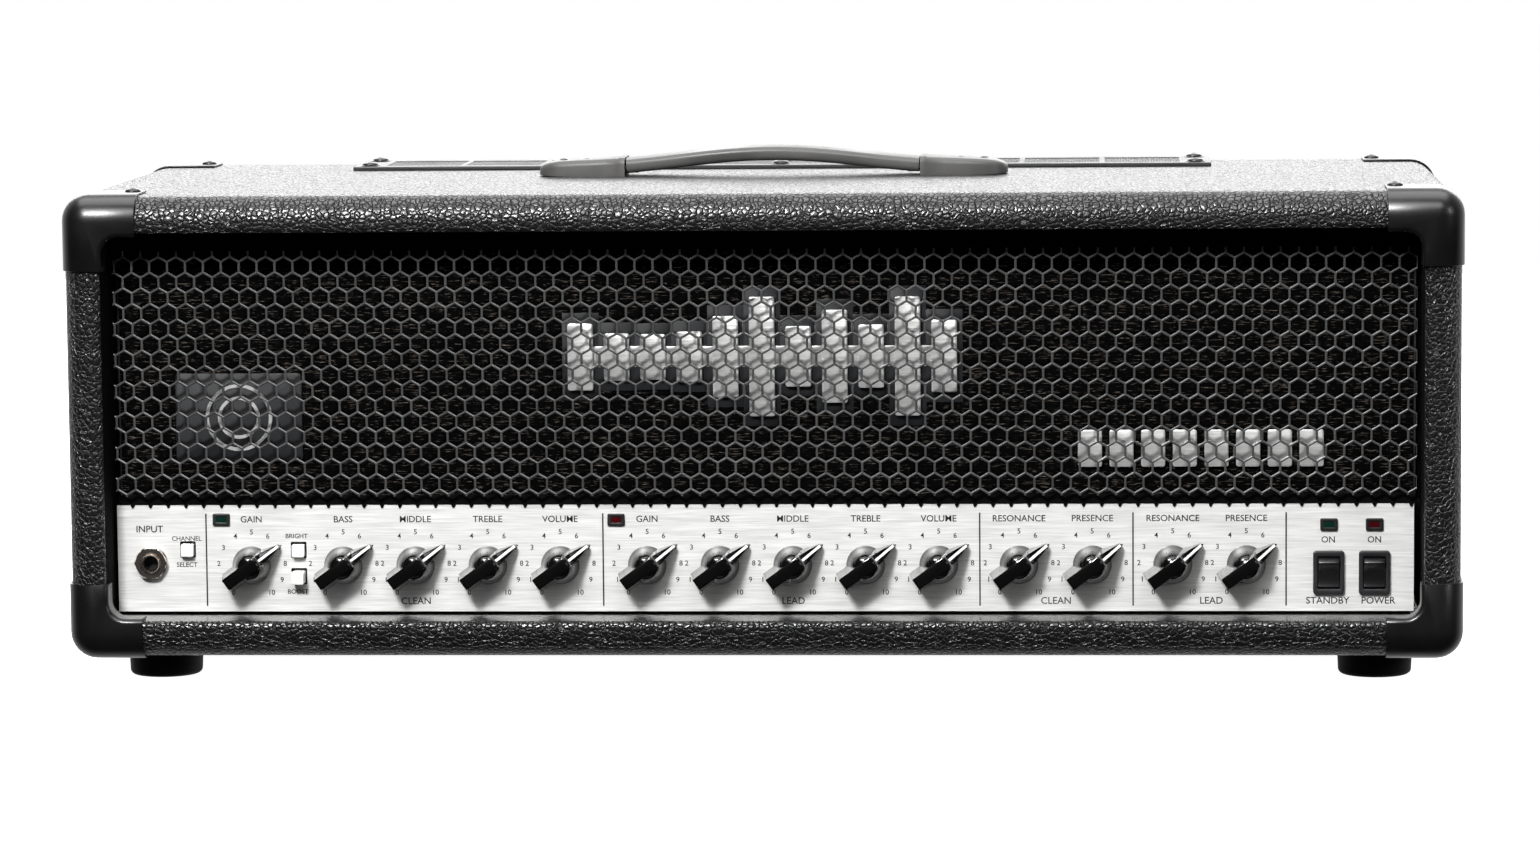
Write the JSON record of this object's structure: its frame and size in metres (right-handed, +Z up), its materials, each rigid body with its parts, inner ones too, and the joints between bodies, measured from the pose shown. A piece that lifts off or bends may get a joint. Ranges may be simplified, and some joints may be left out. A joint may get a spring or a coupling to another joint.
{
  "type": "guitar amplifier head",
  "caption": "Valve guitar amplifier head: vinyl-covered cabinet with corner protectors, silver control panel with pointer knobs under a hexagon grille, and a strap handle.",
  "frame": {"origin": "on the surface that the rubber feet stand on, under the middle of the cabinet", "axes": "+Z up, the control panel faces -Y, +X to the right as seen from the front"},
  "size_m": [0.672, 0.2804, 0.2519],
  "materials": {
    "vinyl_over_plywood": "black pebble-grain vinyl glued over 18 mm plywood",
    "corner_plastic": "satin black moulded plastic",
    "foot_rubber": "black rubber",
    "grille_steel": "satin black painted perforated steel",
    "grille_cloth": "black woven grille cloth on a board",
    "emblem_metal": "plain silver bars, satin",
    "panel_aluminium": "silver, brushed lengthways",
    "chassis_steel": "black powder-coated folded steel",
    "circuit_board": "green glass-fibre laminate",
    "valve_glass": "clear glass envelope on a dark base",
    "transformer_iron": "black lacquered laminations and end bells",
    "knob_plastic": "glossy black moulded plastic with a white line",
    "button_plastic": "off-white plastic cap",
    "lamp_plastic": "dark grey bezel with a tinted lens",
    "switch_plastic": "dark grey moulded plastic",
    "rocker_plastic": "semi-gloss black plastic",
    "jack_metal": "nickel-plated nut, washer and sleeve",
    "vent_steel": "black powder-coated perforated steel",
    "handle_plastic": "dark grey moulded plastic and rubber",
    "socket_plastic": "black moulded plastic"
  },
  "bodies": {
    "cabinet": {"top_panel": "vinyl_over_plywood", "bottom_panel": "vinyl_over_plywood", "left_side_panel": "vinyl_over_plywood", "right_side_panel": "vinyl_over_plywood", "corner_bottom_front_left": "corner_plastic", "corner_bottom_front_right": "corner_plastic", "corner_bottom_rear_left": "corner_plastic", "corner_bottom_rear_right": "corner_plastic", "corner_top_front_left": "corner_plastic", "corner_top_front_right": "corner_plastic", "corner_top_rear_left": "corner_plastic", "corner_top_rear_right": "corner_plastic", "foot_front_left": "foot_rubber", "foot_front_right": "foot_rubber", "foot_rear_left": "foot_rubber", "foot_rear_right": "foot_rubber", "front_grille": "grille_steel", "grille_backing": "grille_cloth", "centre_emblem": "emblem_metal", "control_panel": "panel_aluminium", "chassis": "chassis_steel", "circuit_board": "circuit_board", "power_valves": "valve_glass", "preamp_valves": "valve_glass", "mains_transformer": "transformer_iron", "output_transformer": "transformer_iron", "input_jack": "jack_metal", "top_vent_plate": "vent_steel", "rear_guard": "vent_steel", "handle_cap_left": "handle_plastic", "handle_cap_right": "handle_plastic", "rear_sockets": "socket_plastic", "mains_inlet": "socket_plastic", "standby_switch_housing": "switch_plastic", "power_switch_housing": "switch_plastic", "clean_lamp": "lamp_plastic", "lead_lamp": "lamp_plastic", "standby_lamp": "lamp_plastic", "power_lamp": "lamp_plastic"},
    "handle_strap": {"handle_strap": "handle_plastic"},
    "impedance_selector": {"impedance_selector": "knob_plastic"},
    "standby_switch_rocker": {"standby_switch_rocker": "rocker_plastic"},
    "power_switch_rocker": {"power_switch_rocker": "rocker_plastic"},
    "channel_button": {"channel_button": "button_plastic"},
    "bright_button": {"bright_button": "button_plastic"},
    "boost_button": {"boost_button": "button_plastic"},
    "clean_gain_knob": {"clean_gain_knob": "knob_plastic"},
    "clean_bass_knob": {"clean_bass_knob": "knob_plastic"},
    "clean_middle_knob": {"clean_middle_knob": "knob_plastic"},
    "clean_treble_knob": {"clean_treble_knob": "knob_plastic"},
    "clean_volume_knob": {"clean_volume_knob": "knob_plastic"},
    "lead_gain_knob": {"lead_gain_knob": "knob_plastic"},
    "lead_bass_knob": {"lead_bass_knob": "knob_plastic"},
    "lead_middle_knob": {"lead_middle_knob": "knob_plastic"},
    "lead_treble_knob": {"lead_treble_knob": "knob_plastic"},
    "lead_volume_knob": {"lead_volume_knob": "knob_plastic"},
    "clean_resonance_knob": {"clean_resonance_knob": "knob_plastic"},
    "clean_presence_knob": {"clean_presence_knob": "knob_plastic"},
    "lead_resonance_knob": {"lead_resonance_knob": "knob_plastic"},
    "lead_presence_knob": {"lead_presence_knob": "knob_plastic"}
  },
  "joints": [
    {"name": "clean_gain_turn", "type": "hinge", "parent": "cabinet", "child": "clean_gain_knob", "pos_m": [-0.2493, -0.1132, 0.0557], "axis": [0, 1, 0], "range_deg": [-199, 91]},
    {"name": "clean_bass_turn", "type": "hinge", "parent": "cabinet", "child": "clean_bass_knob", "pos_m": [-0.2044, -0.1132, 0.0557], "axis": [0, 1, 0], "range_deg": [-199, 91]},
    {"name": "clean_middle_turn", "type": "hinge", "parent": "cabinet", "child": "clean_middle_knob", "pos_m": [-0.1691, -0.1132, 0.0557], "axis": [0, 1, 0], "range_deg": [-199, 91]},
    {"name": "clean_treble_turn", "type": "hinge", "parent": "cabinet", "child": "clean_treble_knob", "pos_m": [-0.1338, -0.1132, 0.0557], "axis": [0, 1, 0], "range_deg": [-199, 91]},
    {"name": "clean_volume_turn", "type": "hinge", "parent": "cabinet", "child": "clean_volume_knob", "pos_m": [-0.0985, -0.1132, 0.0557], "axis": [0, 1, 0], "range_deg": [-199, 91]},
    {"name": "lead_gain_turn", "type": "hinge", "parent": "cabinet", "child": "lead_gain_knob", "pos_m": [-0.0562, -0.1132, 0.0557], "axis": [0, 1, 0], "range_deg": [-199, 91]},
    {"name": "lead_bass_turn", "type": "hinge", "parent": "cabinet", "child": "lead_bass_knob", "pos_m": [-0.0209, -0.1132, 0.0557], "axis": [0, 1, 0], "range_deg": [-199, 91]},
    {"name": "lead_middle_turn", "type": "hinge", "parent": "cabinet", "child": "lead_middle_knob", "pos_m": [0.0144, -0.1132, 0.0557], "axis": [0, 1, 0], "range_deg": [-199, 91]},
    {"name": "lead_treble_turn", "type": "hinge", "parent": "cabinet", "child": "lead_treble_knob", "pos_m": [0.0497, -0.1132, 0.0557], "axis": [0, 1, 0], "range_deg": [-199, 91]},
    {"name": "lead_volume_turn", "type": "hinge", "parent": "cabinet", "child": "lead_volume_knob", "pos_m": [0.085, -0.1132, 0.0557], "axis": [0, 1, 0], "range_deg": [-199, 91]},
    {"name": "clean_resonance_turn", "type": "hinge", "parent": "cabinet", "child": "clean_resonance_knob", "pos_m": [0.1237, -0.1132, 0.0557], "axis": [0, 1, 0], "range_deg": [-199, 91]},
    {"name": "clean_presence_turn", "type": "hinge", "parent": "cabinet", "child": "clean_presence_knob", "pos_m": [0.159, -0.1132, 0.0557], "axis": [0, 1, 0], "range_deg": [-199, 91]},
    {"name": "lead_resonance_turn", "type": "hinge", "parent": "cabinet", "child": "lead_resonance_knob", "pos_m": [0.1977, -0.1132, 0.0557], "axis": [0, 1, 0], "range_deg": [-199, 91]},
    {"name": "lead_presence_turn", "type": "hinge", "parent": "cabinet", "child": "lead_presence_knob", "pos_m": [0.233, -0.1132, 0.0557], "axis": [0, 1, 0], "range_deg": [-199, 91]},
    {"name": "channel_press", "type": "slide", "parent": "cabinet", "child": "channel_button", "axis": [0, -1, 0], "range_m": [0, 0.004]},
    {"name": "bright_press", "type": "slide", "parent": "cabinet", "child": "bright_button", "axis": [0, -1, 0], "range_m": [0, 0.004]},
    {"name": "boost_press", "type": "slide", "parent": "cabinet", "child": "boost_button", "axis": [0, -1, 0], "range_m": [-0.004, 0]},
    {"name": "standby_switch_rock", "type": "hinge", "parent": "cabinet", "child": "standby_switch_rocker", "pos_m": [0.2725, -0.1115, 0.0517], "axis": [-1, 0, 0], "range_deg": [0, 20]},
    {"name": "power_switch_rock", "type": "hinge", "parent": "cabinet", "child": "power_switch_rocker", "pos_m": [0.2944, -0.1115, 0.0517], "axis": [-1, 0, 0], "range_deg": [0, 20]},
    {"name": "impedance_turn", "type": "hinge", "parent": "cabinet", "child": "impedance_selector", "pos_m": [0.118, 0.1185, 0.058], "axis": [0, 1, 0], "range_deg": [-45, 45]},
    {"name": "handle_lift", "type": "slide", "parent": "cabinet", "child": "handle_strap", "axis": [0, 0, 1], "range_m": [0, 0.0025]}
  ]
}
